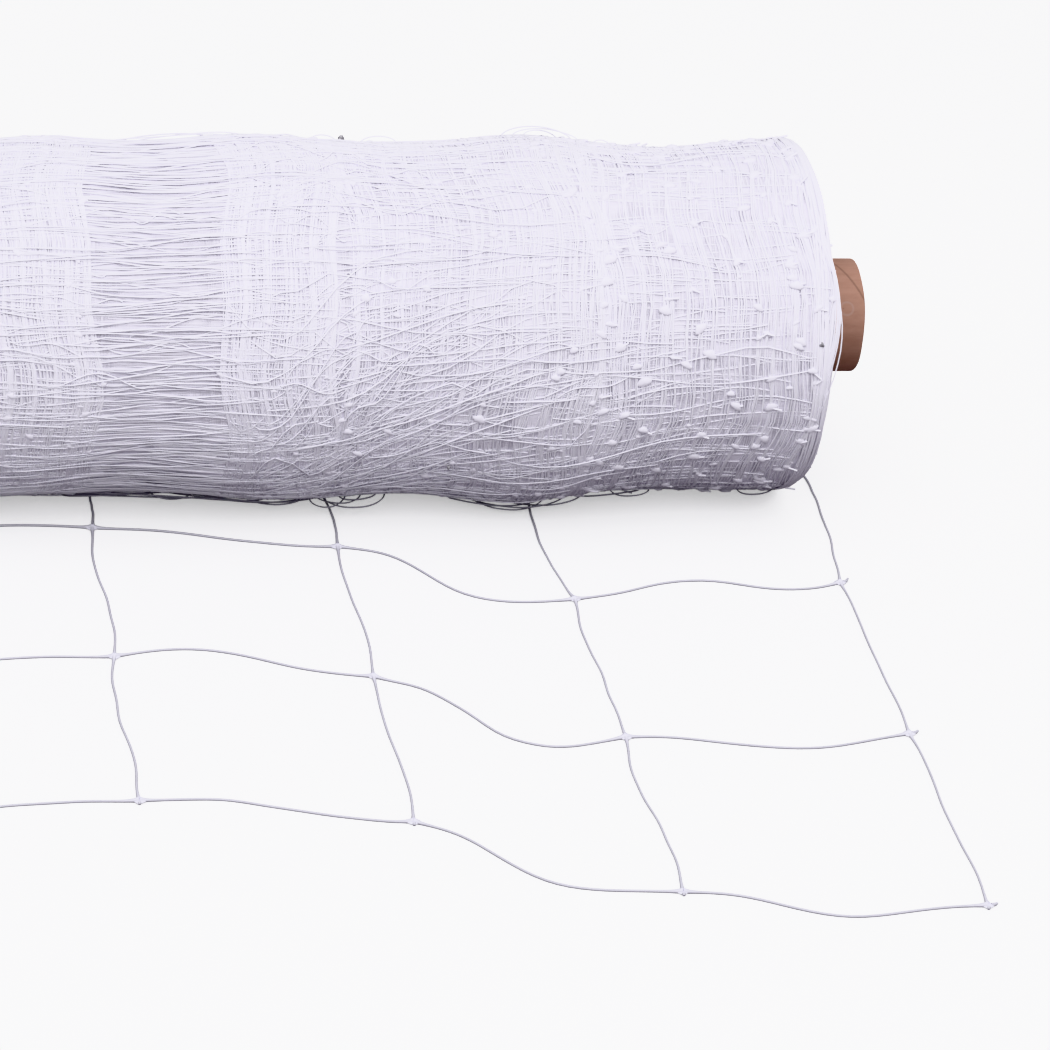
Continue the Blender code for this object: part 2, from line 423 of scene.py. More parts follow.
# %% Card colours
STAIN = Vector((CORE_HALF_LENGTH - 0.0112, -0.0283, AXIS_Z + 0.0181))
SPECK = Vector((CORE_HALF_LENGTH - 0.0150, -0.0323, AXIS_Z + 0.0093))
CARD, PALE_CARD = (0.310, 0.171, 0.126, 1.0), (0.388, 0.225, 0.172, 1.0)
SEAM_BROWN, FLECK_BROWN = (0.172, 0.096, 0.070, 1.0), (0.155, 0.084, 0.065, 1.0)
STAIN_GREY, SPECK_BLACK = (0.41, 0.30, 0.27, 1.0), (0.08, 0.04, 0.035, 1.0)
PLY_BROWN = (0.205, 0.117, 0.093, 1.0)
fibre = noise(tree, (60.0, 260.0, 260.0), 4.0, 0.6)
blotch = noise(tree, even(22.0), 3.0)
flecks = noise(tree, even(420.0), 1.0).step(0.74, 0.80)
stain_ring = near(tree, STAIN, 0.0040, 0.0048) - near(tree, STAIN, 0.0028, 0.0036)
tone = (fibre * 0.5 + blotch * 0.5).step(0.32, 0.68)
colour = mix_colours(tree, tone, CARD, PALE_CARD)
colour = mix_colours(tree, seam * 0.55, colour, SEAM_BROWN)
colour = mix_colours(tree, flecks * 0.5, colour, FLECK_BROWN)
colour = mix_colours(tree, stain_ring * 0.35, colour, STAIN_GREY)
colour = mix_colours(tree, near(tree, SPECK, 0.0004, 0.0010) * 0.8, colour, SPECK_BLACK)
colour = mix_colours(tree, plies * 0.6, colour, PLY_BROWN)
tree.feed(shader["Base Color"], colour)
card_height = fibre * 0.6 - seam * 0.8 - flecks * 0.3 + plies * 0.5
relief = {"Strength": 0.35, "Distance": 0.0006, "Height": card_height}
tree.feed(shader["Normal"], tree.node("ShaderNodeBump", {}, relief))
print("made", card_finish.name)

# %% [markdown]
# ## Strands from lines
#
# A net is nothing but strands, so one geometry tree makes them all. Curve objects with a bevel could do
# it, one for each strand, but there are thousands. The tree takes a mesh of loose edges, turns it into
# curves and sweeps a small ring along them. Each point of a line carries its own thickness, as an
# attribute, so that a strand can swell into a knot.


# %% Strand tree
def new_group(name, sockets):
    """An empty geometry group, its Tree, and its named inputs as Sockets."""
    group = bpy.data.node_groups.new(name, "GeometryNodeTree")
    group.interface.new_socket("Geometry", in_out="INPUT", socket_type="NodeSocketGeometry")
    for label, kind in sockets:
        group.interface.new_socket(label, in_out="INPUT", socket_type=kind)
    group.interface.new_socket("Geometry", in_out="OUTPUT", socket_type="NodeSocketGeometry")
    tree = Tree(group)
    entry = tree.node("NodeGroupInput").link.node
    return group, tree, {socket.name: Socket(tree, socket) for socket in entry.outputs if socket.name}


def close_group(tree, geometry, material):
    """Smooth, realize, give the material, and send it out."""
    smooth = tree.node("GeometryNodeSetShadeSmooth", {}, {"Geometry": geometry})
    real = tree.node("GeometryNodeRealizeInstances", {}, {"Geometry": smooth})
    coloured = tree.node("GeometryNodeSetMaterial", {}, {"Geometry": real, "Material": material})
    tree.node("NodeGroupOutput", {}, {0: coloured})


strand_group, tree, given = new_group("strands_from_lines", [
    ("Strand radius", "NodeSocketFloat"),
    ("Sides", "NodeSocketInt"),
    ("Finish", "NodeSocketMaterial"),
])
lines = tree.node("GeometryNodeMeshToCurve", {}, {"Mesh": given["Geometry"]})
ring = tree.node("GeometryNodeCurvePrimitiveCircle", {}, {"Resolution": given["Sides"], "Radius": 1.0})
thick = tree.node("GeometryNodeInputNamedAttribute", {"data_type": "FLOAT"}, {"Name": "thick"})
sweep = {"Curve": lines, "Profile Curve": ring, "Scale": thick * given["Strand radius"], "Fill Caps": True}
close_group(tree, tree.node("GeometryNodeCurveToMesh", {}, sweep), given["Finish"])
print("strand tree has", len(strand_group.nodes), "nodes")

# %% [markdown]
# The lines go in as a mesh with edges and no faces. After the tree has run, the result is copied into
# a plain mesh and the modifier is gone, so what is left is ordinary geometry.


# %% Run a tree
def line_mesh(name, points, edges, attributes):
    """A mesh of points and loose edges, with one value or vector for each point in each attribute."""
    mesh = bpy.data.meshes.new(name)
    mesh.vertices.add(len(points))
    mesh.vertices.foreach_set("co", np.ascontiguousarray(points, np.float32).ravel())
    mesh.edges.add(len(edges))
    if len(edges):
        mesh.edges.foreach_set("vertices", np.ascontiguousarray(edges, np.int32).ravel())
    for label, values in attributes.items():
        kind, field = ("FLOAT_VECTOR", "vector") if np.ndim(values) == 2 else ("FLOAT", "value")
        layer = mesh.attributes.new(label, kind, "POINT")
        layer.data.foreach_set(field, np.ascontiguousarray(values, np.float32).ravel())
    return mesh


def run_group(name, mesh, group, values):
    """Run a geometry group on a mesh and keep the result as a plain mesh object at the origin."""
    source = bpy.data.objects.new(name + "_source", mesh)
    bpy.context.scene.collection.objects.link(source)
    modifier = source.modifiers.new("Make", "NODES")
    modifier.node_group = group
    for item in group.interface.items_tree:
        if item.in_out == "INPUT" and item.name in values:
            modifier[item.identifier] = values[item.name]
    bpy.context.view_layer.update()
    graph = bpy.context.evaluated_depsgraph_get()
    result = bpy.data.meshes.new_from_object(source.evaluated_get(graph))
    result.name = name
    bpy.data.objects.remove(source, do_unlink=True)
    piece = bpy.data.objects.new(name, result)
    bpy.context.scene.collection.objects.link(piece)
    print(name, "has", sum(len(face.vertices) - 2 for face in result.polygons), "triangles")
    return piece


print("trees can be run")


# %% Strands
def strands(name, points, thick, material, sides=3, extra=None):
    """Strands from an array of lines: points is (lines, points a line, 3), thick is (lines, points)."""
    count, length = points.shape[:2]
    starts = np.arange(count)[:, None] * length + np.arange(length - 1)[None, :]
    edges = np.stack([starts, starts + 1], -1).reshape(-1, 2)
    attributes = {"thick": np.broadcast_to(thick, (count, length)).ravel()}
    attributes.update({label: values.ravel() for label, values in (extra or {}).items()})
    mesh = line_mesh(name, points.reshape(-1, 3), edges, attributes)
    values = {"Strand radius": STRAND_RADIUS, "Sides": sides, "Finish": material}
    return run_group(name, mesh, strand_group, values)


print("strands are", 2000.0 * STRAND_RADIUS, "mm thick")

# %% [markdown]
# ## The winding's surface
#
# The frame's solid is the wound form: raised bands where the lengthwise strands pile up, hollows
# between them, and a flat spot below. A Shrinkwrap modifier could lay lines on it, but not at a height of
# their own. So rays towards the axis measure its radius, on a grid of places along the roll and
# angles around it. An angle starts straight down and turns towards the loose end first.

# %% Measure the winding
STATIONS = 181
ANGLES = 96
EDGE = 0.008
INNER_LENGTH = 2.0 * (HALF_LENGTH - EDGE)


def measure_winding():
    """Radius of the wound form on a grid of stations and angles, leaving out the bevelled edges."""
    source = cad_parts["wound_net"].data
    points = [vertex.co for vertex in source.vertices]
    faces = [tuple(face.vertices) for face in source.polygons]
    solid = BVHTree.FromPolygons(points, faces)
    grid = np.zeros((STATIONS, ANGLES))
    for row, along in enumerate(np.linspace(-INNER_LENGTH / 2.0, INNER_LENGTH / 2.0, STATIONS)):
        on_axis = Vector((along, 0.0, AXIS_Z))
        for column in range(ANGLES):
            angle = 2.0 * math.pi * column / ANGLES
            outward = Vector((0.0, -math.sin(angle), -math.cos(angle)))
            hit = solid.ray_cast(on_axis + outward, -outward)[0]
            grid[row, column] = (hit - on_axis).length
    return grid


winding = measure_winding()
MEAN_RADIUS = float(winding.mean())
print("winding radius", round(winding.min(), 4), "to", round(winding.max(), 4), "mean", round(MEAN_RADIUS, 4))


# %% Points on the winding
def winding_radius(along, angle):
    """Radius of the wound form at arrays of places along the roll and angles around it."""
    row = (np.clip(along / INNER_LENGTH, -0.5, 0.5) + 0.5) * (STATIONS - 1)
    column = np.mod(angle / (2.0 * math.pi), 1.0) * ANGLES
    row_low = np.minimum(row.astype(int), STATIONS - 2)
    column_low = column.astype(int) % ANGLES
    column_high = (column_low + 1) % ANGLES
    a = row - row_low
    b = column - np.floor(column)
    first = winding[row_low, column_low] * (1.0 - b) + winding[row_low, column_high] * b
    second = winding[row_low + 1, column_low] * (1.0 - b) + winding[row_low + 1, column_high] * b
    return first * (1.0 - a) + second * a


def around_axis(along, angle, radius):
    """Points at arrays of places along the roll, angles and radii, none of them below the ground."""
    up = np.maximum(AXIS_Z - radius * np.cos(angle), STRAND_RADIUS * 1.1)
    return np.stack(np.broadcast_arrays(along, -radius * np.sin(angle), up), -1)


def on_winding(along, angle, height):
    """Points at a height over the wound form."""
    return around_axis(along, angle, winding_radius(along, angle) + height)


print("in front, half way up:", on_winding(np.zeros(1), np.full(1, math.pi / 2.0), 0.0)[0])

# %% [markdown]
# ## How the net is wound
#
# The web is one long strip, and a distance along it says where on the roll a point lies. The web ends,
# at 0, below the roll, where the loose end begins, so every turn lies at a negative distance. Its nine
# lengthwise strands wander slowly from side to side as the web is wound, which is why some stretches of
# the roll are all hoops and others are all crosswise strands. A slow sine is a good model: it lingers
# at its two extremes, where the strands pile up in the ridges that the real roll has.

# %% The lengthwise strands' zones
TURNS = 146
TURN_LENGTH = 2.0 * math.pi * MEAN_RADIUS
WEB_LENGTH = TURNS * TURN_LENGTH

# Each lengthwise strand's zone on the roll: its middle, half its width, the turns that one wander
# takes, where the wander starts, and where the strand leaves the roll.
Zone = namedtuple("Zone", "middle half turns start leaves")
ZONES = [
    Zone(-0.575, 0.030, 19.3, 0.10, -0.585),
    Zone(-0.455, 0.044, 27.7, 0.60, -0.430),
    Zone(-0.300, 0.030, 18.1, 0.30, -0.271),
    Zone(-0.150, 0.050, 31.9, 0.80, -0.116),
    Zone(0.020, 0.030, 22.3, 0.20, 0.044),
    Zone(0.160, 0.026, 19.7, 0.55, 0.195),
    Zone(0.297, 0.029, 18.7, 0.85, 0.332),
    Zone(0.402, 0.071, 27.3, 0.35, 0.453),
    Zone(0.537, 0.063, 31.1, 0.15, 0.602),
]
print(TURNS, "turns of", round(TURN_LENGTH, 3), "m make a web", round(WEB_LENGTH, 1), "m long")

# %% [markdown]
# The wander has four more parts. A quick one keeps turns from repeating. An edge, the same at each
# turn, lets the zones' borders wave. A wobble is the strand's own. Bunching draws strands together
# every 12.5 mm, because a strand slides into the groove between two that lie below it. No turn can lie
# past the end of the winding. Over its last turn each strand runs over to where it leaves the roll.


# %% The lengthwise strands' wander
BUNCH_PITCH = 0.0125
BUNCH = 0.85
LEAVING_LENGTH = 0.12
OUTERMOST_TURN = 0.6115
QUICK, QUICKER = 0.0030, 0.0016
BORDER_WAVE, FINER_BORDER_WAVE = 0.0036, 0.0020
WOBBLE = 0.0006


def web_angle(along_web):
    return along_web / MEAN_RADIUS


def wander(strand, along_web):
    """Place along the roll of a lengthwise strand, at arrays of distances along the web."""
    zone = ZONES[strand]
    turns = along_web / TURN_LENGTH
    angle = web_angle(along_web)
    phase = 2.0 * math.pi * (turns / zone.turns + zone.start)
    slow = zone.half * np.sin(phase + 0.6 * np.sin(phase * 0.37 + strand))
    quick = QUICK * np.sin(turns * 5.3 + 2.3 * strand) + QUICKER * np.sin(turns * 13.1 + strand)
    place = zone.middle + slow + quick
    pull = BUNCH * BUNCH_PITCH / (2.0 * math.pi) * np.sin(2.0 * math.pi * place / BUNCH_PITCH + strand)
    edge = BORDER_WAVE * np.sin(3.0 * angle + 1.9 * strand)
    edge = edge + FINER_BORDER_WAVE * np.sin(8.0 * angle + 2.7 * strand)
    wobble = WOBBLE * np.sin(turns * 41.7 + strand)
    place = np.clip(place - pull + edge + wobble, -OUTERMOST_TURN, OUTERMOST_TURN)
    leaving = np.exp(along_web / LEAVING_LENGTH)
    return place * (1.0 - leaving) + zone.leaves * leaving


print("strand 8, turn by turn:", wander(8, -TURN_LENGTH * np.arange(1, 5)).round(4))

# %% [markdown]
# A turn that lies deeper in the winding is a little lower. The steps are tiny here, because what shows
# is the outermost turns, which have sunk into each other. A small wave in each hoop's height lets it
# pass over and under its neighbours.

# %% Hoops
HOOP_TURNS = 160
STEPS_A_TURN = 36
HOOP_LIFT = 0.0003
HOOP_WAVE = 0.00025
HOOP_WAVE_PACE = 20.3
LAYER_STEP = 0.0000035
TOP_INSET = 0.0004
WOUND_THICK = 0.72


def web_height(along_web):
    return along_web / TURN_LENGTH * LAYER_STEP - TOP_INSET


def hoop_line(strand, along_web):
    wave = HOOP_WAVE * np.sin(along_web / TURN_LENGTH * HOOP_WAVE_PACE + strand)
    height = web_height(along_web) + HOOP_LIFT + wave
    return on_winding(wander(strand, along_web), web_angle(along_web), height)


along_web = np.linspace(-HOOP_TURNS * TURN_LENGTH, 0.0, HOOP_TURNS * STEPS_A_TURN + 1)
hoops = np.stack([hoop_line(strand, along_web) for strand in range(CELLS + 1)])
hoop_depth = np.tile(-along_web / (HOOP_TURNS * TURN_LENGTH), (CELLS + 1, 1))
hoop_pieces = []
for side, some in (("left", slice(0, 3)), ("middle", slice(3, 6)), ("right", slice(6, 9))):
    depth = {"depth": hoop_depth[some]}
    hoop_pieces.append(strands("wound_hoops_" + side, hoops[some], WOUND_THICK, strand_finish, 3, depth))

# %% [markdown]
# ## Crosswise strands on the roll
#
# Each crosswise strand is as long as a cell is wide, but the lengthwise strands that it joins have
# wandered closer, so it lies slack, in waves. A cloth or rope simulation could settle them, for a long
# wait. Neighbouring strands were wound together and wave together, so here the waves come from smooth
# functions of the place on the web, with a little chance added.

# %% Crosswise strands' knots
FIRST_ROW = 0.35
KNOT_LEAD = 0.003
KNOT_SCATTER = 0.002
LAST_KNOT = -0.002
rows = np.arange(0, int(WEB_LENGTH / PITCH))
row_place = -(rows + FIRST_ROW) * PITCH
dice = np.random.default_rng(20)


def knot_spot(strand):
    """Distances along the web, and places along the roll, of one lengthwise strand's knots."""
    lead = KNOT_LEAD * np.sin(row_place * 0.9 + 1.7 * strand)
    lead = lead + KNOT_SCATTER * dice.standard_normal(len(rows))
    along_web = np.minimum(row_place + lead, LAST_KNOT)
    return along_web, wander(strand, along_web)


spots = [knot_spot(strand) for strand in range(CELLS + 1)]
print(len(rows), "rows of knots on the roll")

# %% [markdown]
# The cells differ: in some the slack is long and in others nearly gone. Round one side of the roll the
# strands were also pulled askew, which shows as long slants that sweep across the roll.

# %% How the crosswise strands lie
# For each cell: waves shared with the neighbours, waves of a strand's own, the share of strands that lie
# on top, how far the right ends climb on the askew side, and the angle, in degrees, where they climb most.
Slack = namedtuple("Slack", "shared own over climb side")
SLACKS = [
    Slack(0.0030, 0.0018, 0.35, 0.012, 150),
    Slack(0.0040, 0.0024, 0.30, 0.040, 215),
    Slack(0.0024, 0.0016, 0.60, -0.010, 300),
    Slack(0.0040, 0.0026, 0.30, -0.045, 110),
    Slack(0.0028, 0.0018, 0.60, 0.016, 255),
    Slack(0.0010, 0.0009, 0.85, 0.006, 40),
    Slack(0.0040, 0.0028, 0.34, 0.058, 62),
    Slack(0.0026, 0.0016, 0.12, 0.010, 80),
]
ASKEW_SPREAD = 46.0
LONG_CLIMB = 0.03
PATCHY_SHARE = 0.3
CLIMBING_SHARE = 0.45


def askew_share(slack, angle):
    """1 where the strands climb most, falling off to both sides of it."""
    off_side = np.mod(np.degrees(angle) - slack.side + 180.0, 360.0) - 180.0
    return np.exp(-(off_side / ASKEW_SPREAD) ** 2)


def share_on_top(cell, angle):
    """The share of a cell's strands that lie over the hoops, in patches round the roll."""
    slack = SLACKS[cell]
    patchy = np.sin(3.0 * angle + 2.1 * cell) * np.sin(7.0 * angle + 1.3 * cell)
    climbing = CLIMBING_SHARE * askew_share(slack, angle) * (abs(slack.climb) > LONG_CLIMB)
    return slack.over + PATCHY_SHARE * patchy + climbing


print("on top in the sixth cell, in front:", round(float(share_on_top(5, math.pi / 2.0)), 2))

# %% Crosswise strands' waves
CROSS_POINTS = 12
ACROSS = np.linspace(0.0, 1.0, CROSS_POINTS)[None, :]
CLIMB_VARIES = 0.25


def by_chance(count, size):
    return size * dice.standard_normal(count)[:, None]


def slack_wave(cell, angle, freedom):
    """How far a cell's strands run off the straight, across the points of each strand."""
    slack = SLACKS[cell]
    count = len(angle)
    sag = slack.shared * np.sin(angle * 2.0 + cell * 1.3) + by_chance(count, slack.own) * freedom
    sway = slack.shared * np.sin(angle * 3.0 + cell) + by_chance(count, slack.own) * freedom
    ripple = by_chance(count, slack.own * 0.5) * freedom
    shiver = by_chance(count, slack.own * 0.2) * freedom
    climb = slack.climb * askew_share(slack, angle) * (1.0 + by_chance(count, CLIMB_VARIES))
    rising = ACROSS ** 3 * (10.0 - 15.0 * ACROSS + 6.0 * ACROSS ** 2)
    waves = ((sag, 1.0), (sway, 2.0), (ripple, 3.0), (shiver, 7.0))
    return sum(size * np.sin(bows * math.pi * ACROSS) for size, bows in waves) + climb * rising


print("each crosswise strand has", CROSS_POINTS, "points")

# %% Crosswise strands
FREEDOM = (0.4, 3.2)
ON_TOP_LIFT = 0.0006
BELOW_SINK = -0.0004
WEAVE = 0.0004
WEAVES = 1.7


def between(first, second):
    return first[:, None] * (1.0 - ACROSS) + second[:, None] * ACROSS


def crosswise(cell):
    """Lines and depths of all crosswise strands of one cell, each from a knot to the knot beside it."""
    (web_a, place_a), (web_b, place_b) = spots[cell], spots[cell + 1]
    count = len(rows)
    angle_a = web_angle(web_a)[:, None]
    on_top = dice.uniform(0.0, 1.0, count)[:, None] < share_on_top(cell, angle_a)
    freedom = np.where(on_top, dice.uniform(*FREEDOM, count)[:, None], 1.0)
    wave = slack_wave(cell, angle_a, freedom)
    web = between(web_a, web_b)
    lift = np.where(on_top, np.abs(by_chance(count, ON_TOP_LIFT)), BELOW_SINK)
    arch = (np.sin(math.pi * ACROSS) + 1e-9) ** 0.4
    weave = WEAVE * np.sin(2.0 * math.pi * (WEAVES * ACROSS + dice.uniform(0.0, 1.0, count)[:, None]))
    height = web_height(web) + lift * arch + weave
    angle = web_angle(web) + wave / MEAN_RADIUS
    return on_winding(between(place_a, place_b), angle, height), -web / WEB_LENGTH


cross_pieces = []
for side, cells in (("left", range(0, 3)), ("middle", range(3, 5)), ("right", range(5, CELLS))):
    made = [crosswise(cell) for cell in cells]
    points = np.concatenate([lines for lines, _ in made])
    depth = {"depth": np.concatenate([deep for _, deep in made])}
    cross_pieces.append(strands("wound_cross_" + side, points, WOUND_THICK, strand_finish, 3, depth))

# %% [markdown]
# ## Bed of the winding
#
# Under the strands that can be told apart lie thousands more, which close the view to the core. They
# are one surface: a copy of the frame's solid, drawn in towards the axis so that the strands stand
# proud of it. Near the axis nothing moves, because the core fits in there. The solid's faces are loose
# in the frame, so they are merged first. A second attribute, "hooped", is counted from the hoops
# themselves.

# %% Bed tree
DRAWN_FROM = (0.05, 0.06)
bed_group, tree, given = new_group("winding_bed", [
    ("Axis height", "NodeSocketFloat"),
    ("Depth", "NodeSocketFloat"),
    ("Finish", "NodeSocketMaterial"),
])
fine = tree.node("GeometryNodeSubdivideMesh", {}, {"Mesh": given["Geometry"], "Level": 1})
place = tree.node("GeometryNodeInputPosition")
across, up = (tree.node("ShaderNodeSeparateXYZ", {}, {0: place}, output=axis) for axis in (1, 2))
rise = up - given["Axis height"]
radius = (across * across + rise * rise) ** 0.5
draw_in = -1.0 * given["Depth"] * radius.step(*DRAWN_FROM) / radius
offset = tree.node("ShaderNodeCombineXYZ", {}, {1: across * draw_in, 2: rise * draw_in})
moved = tree.node("GeometryNodeSetPosition", {}, {"Geometry": fine, "Offset": offset})
close_group(tree, moved, given["Finish"])
print("bed tree has", len(bed_group.nodes), "nodes")

# %% Winding bed
BED_DEPTH = 0.0009
MERGE = 0.00002
HOOP_BINS = 120
FEW_HOOPS = 0.25
merged = bmesh.new()
merged.from_mesh(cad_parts["wound_net"].data)
bmesh.ops.remove_doubles(merged, verts=merged.verts, dist=MERGE)
bed_mesh = bpy.data.meshes.new("winding_bed_source")
merged.to_mesh(bed_mesh)
merged.free()
counts, borders = np.histogram(hoops[..., 0], bins=HOOP_BINS, range=(-HALF_LENGTH, HALF_LENGTH))
places = np.array([vertex.co.x for vertex in bed_mesh.vertices])
many = (counts > FEW_HOOPS * counts.mean()).astype(float)
hooped_there = np.interp(places, (borders[1:] + borders[:-1]) / 2.0, many).astype(np.float32)
bed_mesh.attributes.new("hooped", "FLOAT", "POINT").data.foreach_set("value", hooped_there)
bed = run_group("winding_bed", bed_mesh, bed_group, {
    "Axis height": AXIS_Z, "Depth": BED_DEPTH, "Finish": bed_finish,
})

# %% [markdown]
# ## Knots
#
# Where two strands were welded, the plastic is a small flat pillow with four blunt corners. On the roll
# the knots are half sunk between the strands. There are hundreds, so a tree puts copies of one ball on
# points: few faces for those on the roll, more for those that lie loose. Raising the ball's outline to a
# power below 2 gives the corners, and a sine makes it uneven. Each point carries the direction to
# face and how far to stretch.

# %% Knot tree
knot_group, tree, given = new_group("knots_on_points", [
    ("Knot size", "NodeSocketVector"),
    ("Segments", "NodeSocketInt"),
    ("Rings", "NodeSocketInt"),
    ("Corners", "NodeSocketFloat"),
    ("Lump", "NodeSocketFloat"),
    ("Twist", "NodeSocketFloat"),
    ("Seed", "NodeSocketInt"),
    ("Finish", "NodeSocketMaterial"),
])
ball = tree.node("GeometryNodeMeshUVSphere", {}, {
    "Segments": given["Segments"], "Rings": given["Rings"], "Radius": 1.0,
})
place = tree.node("GeometryNodeInputPosition")
x, y = (tree.node("ShaderNodeSeparateXYZ", {}, {0: place}, output=axis) for axis in (0, 1))
out = (x * x + y * y + 0.000001) ** 0.5
corners = given["Corners"]
outline = (abs(x / out) ** corners + abs(y / out) ** corners + 0.000001) ** (-1.0 / corners)
lump = 1.0 + given["Lump"] * (3.0 * x + 2.0 * y).sine()
shape = tree.node("ShaderNodeCombineXYZ", {}, {0: outline * lump, 1: outline * lump, 2: lump})
shaped = vector_math(tree, "MULTIPLY", place, shape)
pillow = tree.node("GeometryNodeSetPosition", {}, {"Geometry": ball, "Position": shaped})
print("knot shape ready")

# %% Knots on points
as_vector = {"data_type": "FLOAT_VECTOR"}
outward = tree.node("GeometryNodeInputNamedAttribute", as_vector, {"Name": "outward"})
stretch = tree.node("GeometryNodeInputNamedAttribute", as_vector, {"Name": "stretch"})
facing = tree.node("FunctionNodeAlignRotationToVector", {"axis": "Z"}, {"Vector": outward})
limits = {2: -1.0 * given["Twist"], 3: given["Twist"], "Seed": given["Seed"]}
twist = tree.node("FunctionNodeRandomValue", {"data_type": "FLOAT"}, limits, output=1)
turned = tree.node("FunctionNodeAxisAngleToRotation", {}, {"Axis": (0.0, 0.0, 1.0), "Angle": twist})
facing = tree.node("FunctionNodeRotateRotation", {"rotation_space": "LOCAL"}, {0: facing, 1: turned})
size = vector_math(tree, "MULTIPLY", given["Knot size"], stretch)
placed = tree.node("GeometryNodeInstanceOnPoints", {}, {
    "Points": given["Geometry"], "Instance": pillow, "Rotation": facing, "Scale": size,
})
close_group(tree, placed, given["Finish"])
print("knot tree has", len(knot_group.nodes), "nodes")


# %% Knots' points
def outwards(angle):
    """Directions from the axis at an array of angles."""
    return np.stack([np.zeros_like(angle), -np.sin(angle), -np.cos(angle)], -1)


KNOT_CLEARANCE = 0.0035
KNOT_SIZES = (0.45, 1.0)
KNOT_STRETCH = (0.7, 1.2)
KNOT_DEPTHS = (0.2, 0.2, 0.2, 0.2, 0.2, 0.2, 0.2, 0.32, 0.45)
KNOT_SCALES = (0.9, 1.0, 0.8, 1.0, 0.8, 0.75, 0.7, 0.95, 1.1)
knots = {"point": [], "outward": [], "stretch": []}
for strand, (web, place) in enumerate(spots):
    angle = web_angle(web)
    above_ground = AXIS_Z - winding_radius(place, angle) * np.cos(angle)
    shown = (-web / WEB_LENGTH < KNOT_DEPTHS[strand]) & (above_ground > KNOT_CLEARANCE)
    web, place, angle = web[shown], place[shown], angle[shown]
    scale = KNOT_SCALES[strand] * dice.uniform(*KNOT_SIZES, len(web))
    knots["point"].append(on_winding(place, angle, web_height(web)))
    knots["outward"].append(outwards(angle))
    knots["stretch"].append(scale[:, None] * dice.uniform(*KNOT_STRETCH, (len(web), 3)))
knots = {label: np.concatenate(values) for label, values in knots.items()}
print(len(knots["point"]), "knots show on the roll")

# %% Wound knots
knot_mesh = line_mesh("wound_knots", knots.pop("point"), [], knots)
wound_knots = run_group("wound_knots", knot_mesh, knot_group, {
    "Knot size": (0.0046, 0.0028, 0.0019), "Segments": 8, "Rings": 4, "Corners": 1.45, "Lump": 0.2,
    "Twist": 0.8, "Seed": 4, "Finish": knot_finish,
})

# %% [markdown]
# The scraps that are caught in the winding come from the same tree. Each is stretched its own way.

# %% Scraps
# For each scrap: its place along the roll, its angle, in degrees, and its height over the winding.
SCRAPS = np.array(((0.3405, 206.5, 0.0012), (0.6015, 107.0, 0.0006), (0.3930, 62.0, 0.0022)))
SCRAP_STRETCH = np.array(((1.5, 1.3, 1.9), (0.9, 1.4, 0.9), (0.9, 0.9, 0.9)))
scrap_places, scrap_angles, scrap_heights = SCRAPS[:, 0], np.radians(SCRAPS[:, 1]), SCRAPS[:, 2]
scrap_points = on_winding(scrap_places, scrap_angles, scrap_heights)
scrap_mesh = line_mesh("scraps", scrap_points, [], {
    "outward": outwards(scrap_angles), "stretch": SCRAP_STRETCH,
})
scraps = run_group("scraps", scrap_mesh, knot_group, {
    "Knot size": (0.0017, 0.0012, 0.0012), "Segments": 10, "Rings": 6, "Corners": 1.2, "Lump": 0.4,
    "Twist": 1.5, "Seed": 7, "Finish": scrap_finish,
})

# %% [markdown]
# ## Slack strands
#
# Not every crosswise strand lies flat. Many stand off the winding as low arcs, below the roll they hang
# in loops, and at the right-hand end some bulge past the edge, in front of the core. A physics run
# would drop them all the same way, so each one is drawn: a line over the winding, with a height and
# a place that rise and fall along it.


# %% A slack strand's line
SLACK_POINTS = 20
SINK = 0.0006
fields = "start end start_angle end_angle lift bulge lean wave swing"
SlackStrand = namedtuple("SlackStrand", fields, defaults=(0.0, 1.0, 0.0, 0.0))


def slack_line(slack):
    """Points of one strand that leaves the winding at one place and rejoins it at another."""
    share = np.linspace(0.0, 1.0, SLACK_POINTS)
    ease = share * share * (3.0 - 2.0 * share)
    arch = np.sin(math.pi * share ** slack.lean)
    along = slack.start + (slack.end - slack.start) * ease + slack.bulge * arch * arch
    wave = slack.wave * np.sin(math.pi * share) * np.sin(2.8 * math.pi * share + 40.0 * slack.start)
    angle = slack.start_angle + (slack.end_angle - slack.start_angle) * share + wave + slack.swing * arch
    return on_winding(along, np.radians(angle), slack.lift * arch - SINK)


def slack_lines(slacks):
    return np.stack([slack_line(slack) for slack in slacks])


print("slack strands have", SLACK_POINTS, "points")

# %% [markdown]
# A loop that hangs below the roll starts and ends out of sight under it, and its middle swings out past
# the lower edge. The longer the loop, the further back under the roll it starts. The list gives where
# each loop starts and ends along the roll, and how far its middle stands off the winding.

# %% Hanging loops
LOOP_THICK = 0.75
LOWER_EDGE = 29.0
HANG = 14.0
HANG_LENGTH = 0.055
HANGING = (
    (0.178, 0.236, 0.0036), (0.182, 0.230, 0.0030), (0.240, 0.322, 0.0028), (0.186, 0.268, 0.0044),
    (0.206, 0.300, 0.0036), (0.228, 0.252, 0.0052), (0.246, 0.330, 0.0022), (0.284, 0.318, 0.0034),
    (0.321, 0.343, 0.0066), (0.325, 0.352, 0.0050), (0.329, 0.366, 0.0082), (0.338, 0.360, 0.0036),
    (0.402, 0.470, 0.0030), (0.418, 0.462, 0.0052), (0.430, 0.486, 0.0042), (0.410, 0.476, 0.0038),
    (0.478, 0.520, 0.0030), (0.500, 0.524, 0.0046), (0.576, 0.598, 0.0036),
)


